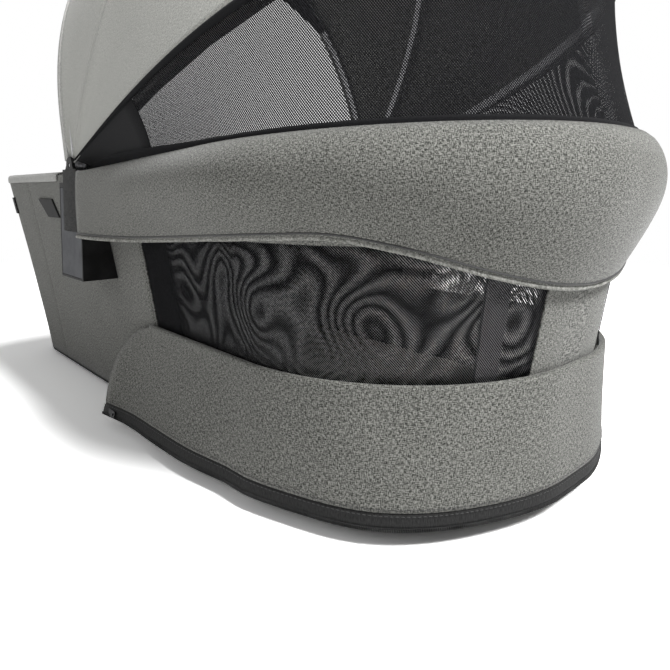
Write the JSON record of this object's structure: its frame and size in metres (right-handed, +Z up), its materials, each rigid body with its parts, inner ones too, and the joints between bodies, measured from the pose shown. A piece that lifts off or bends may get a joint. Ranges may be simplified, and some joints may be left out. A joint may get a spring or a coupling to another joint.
{
  "type": "carrycot",
  "caption": "Fabric-covered carrycot with a folding mesh-backed hood, rim valance, unzipped vent flap, apron and side mount blocks with adapter sockets.",
  "frame": {"origin": "centre of the part's overall box in X and Y, on the floor under the foot pads", "axes": "+X along the tub towards the head end, +Y towards the right-hand side seen from the head end, +Z up"},
  "size_m": [0.863, 0.4658, 0.665],
  "materials": {
    "melange_fabric": "grey melange woven cloth, matte",
    "light_fabric": "light grey melange woven cloth, matte",
    "lining_fabric": "soft grey lining on thin foam",
    "mattress_fabric": "pale knitted mattress cover",
    "black_mesh": "black polyester net",
    "black_fabric": "black binding and lining cloth",
    "black_plastic": "moulded black plastic",
    "grey_plastic": "dark grey moulded plastic",
    "black_rubber": "black rubber",
    "frame_metal": "anodised aluminium",
    "leatherette": "black stitched leatherette",
    "zip_metal": "dark plated zinc"
  },
  "bodies": {
    "tub": {"base_tray": "black_plastic", "foot_pad_foot_left": "black_rubber", "foot_pad_foot_right": "black_rubber", "foot_pad_head_left": "black_rubber", "foot_pad_head_right": "black_rubber", "rim_frame": "frame_metal", "upright_left_1": "black_plastic", "upright_left_2": "black_plastic", "upright_left_3": "black_plastic", "upright_right_1": "black_plastic", "upright_right_2": "black_plastic", "upright_right_3": "black_plastic", "cover_foot": "melange_fabric", "cover_side_left": "melange_fabric", "cover_side_right": "melange_fabric", "cover_head": "melange_fabric", "vent_mesh_left": "black_mesh", "vent_mesh_right": "black_mesh", "liner_mesh_left": "black_mesh", "liner_mesh_right": "black_mesh", "liner": "lining_fabric", "mattress": "mattress_fabric", "mount_block_left": "black_plastic", "mount_block_right": "black_plastic", "hinge_pin_left": "frame_metal", "hinge_pin_right": "frame_metal", "rear_bow": "frame_metal", "hood_mesh": "black_mesh", "hood_gusset_left": "black_fabric", "hood_gusset_right": "black_fabric", "hood_seam_band": "black_fabric", "rear_bow_band": "black_fabric", "valance": "melange_fabric", "valance_strip_left": "black_fabric", "valance_strip_right": "black_fabric", "vent_flap": "melange_fabric", "zip_tape": "black_fabric", "zip_chain": "black_plastic", "zip_slider": "zip_metal", "apron": "light_fabric", "press_pad_side_left": "black_plastic", "press_pad_side_right": "black_plastic", "press_pad_foot_left": "black_plastic", "press_pad_foot_right": "black_plastic", "hood_panel_mid": "light_fabric"},
    "mid_hood": {"mid_bow": "frame_metal", "carry_handle": "black_plastic", "handle_grip": "leatherette", "hood_panel_front": "light_fabric"},
    "front_hood": {"front_bow": "frame_metal", "front_piping": "light_fabric"},
    "sun_visor": {"visor": "black_fabric"},
    "release_left": {"release_plate_left": "grey_plastic"},
    "release_right": {"release_plate_right": "grey_plastic"},
    "bolt_left": {"latch_left": "black_plastic"},
    "bolt_right": {"latch_right": "black_plastic"},
    "puller": {"zip_puller": "zip_metal"}
  },
  "joints": [
    {"name": "hood_mid_fold", "type": "hinge", "parent": "tub", "child": "mid_hood", "pos_m": [-0.059, 0, 0.2735], "axis": [0, 1, 0], "range_deg": [0, 27], "deforming": ["hood_panel_mid"]},
    {"name": "hood_front_fold", "type": "hinge", "parent": "mid_hood", "child": "front_hood", "pos_m": [-0.059, 0, 0.2735], "axis": [0, 1, 0], "range_deg": [0, 34], "deforming": ["hood_panel_front"]},
    {"name": "visor_retract", "type": "hinge", "parent": "front_hood", "child": "sun_visor", "pos_m": [-0.059, 0, 0.2735], "axis": [0, 1, 0], "range_deg": [0, 8]},
    {"name": "release_plate_left_press", "type": "slide", "parent": "tub", "child": "release_left", "axis": [0, 1, 0], "range_m": [0, 0.0038], "stiffness_N_per_m": 150},
    {"name": "release_plate_right_press", "type": "slide", "parent": "tub", "child": "release_right", "axis": [0, -1, 0], "range_m": [0, 0.0038], "stiffness_N_per_m": 150},
    {"name": "latch_left_slide", "type": "slide", "parent": "tub", "child": "bolt_left", "axis": [-1, 0, 0], "range_m": [0, 0.0038]},
    {"name": "latch_right_slide", "type": "slide", "parent": "tub", "child": "bolt_right", "axis": [-1, 0, 0], "range_m": [0, 0.0038]},
    {"name": "zip_puller_swing", "type": "hinge", "parent": "tub", "child": "puller", "pos_m": [-0.0134, -0.21363, 0.0192], "axis": [0, -0.2831, -0.9591], "range_deg": [0, 170]}
  ],
  "couplings": [
    {"joint": "hood_front_fold", "follows": "hood_mid_fold", "ratio": 1.25},
    {"joint": "latch_left_slide", "follows": "release_plate_left_press", "ratio": 1},
    {"joint": "latch_right_slide", "follows": "release_plate_right_press", "ratio": 1}
  ]
}
